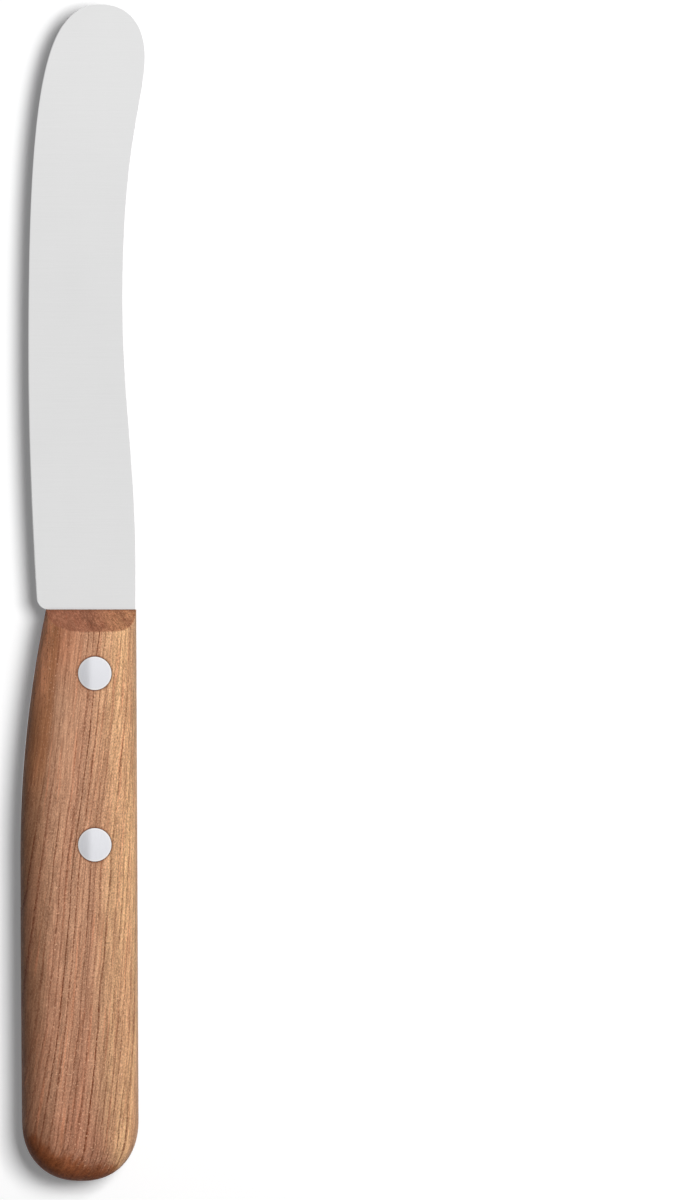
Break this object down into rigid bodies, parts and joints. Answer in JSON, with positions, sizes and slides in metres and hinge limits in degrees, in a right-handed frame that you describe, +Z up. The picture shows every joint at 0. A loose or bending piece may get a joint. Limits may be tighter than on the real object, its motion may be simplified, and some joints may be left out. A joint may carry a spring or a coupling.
{
  "type": "butter knife",
  "caption": "Butter knife with a thin ground, round-tipped blade and a rounded wooden handle held on its half tang by flush rivets, for spreading and light cutting at table.",
  "frame": {"origin": "centre of the bounding box, on the plane that the knife lies on", "axes": "+Y along the knife from the butt to the tip, +X to the back of the blade, +Z up out of the blade's face"},
  "size_m": [0.024, 0.2276, 0.013],
  "materials": {
    "blade_steel": "fine satin grind",
    "handle_wood": "oiled, open grained, reddish brown",
    "rivet_aluminium": "dressed flush, fine satin"
  },
  "bodies": {
    "root": {"blade": "blade_steel", "handle": "handle_wood", "front_rivet_post": "rivet_aluminium", "front_rivet_socket": "rivet_aluminium", "rear_rivet_post": "rivet_aluminium", "rear_rivet_socket": "rivet_aluminium"}
  },
  "joints": []
}
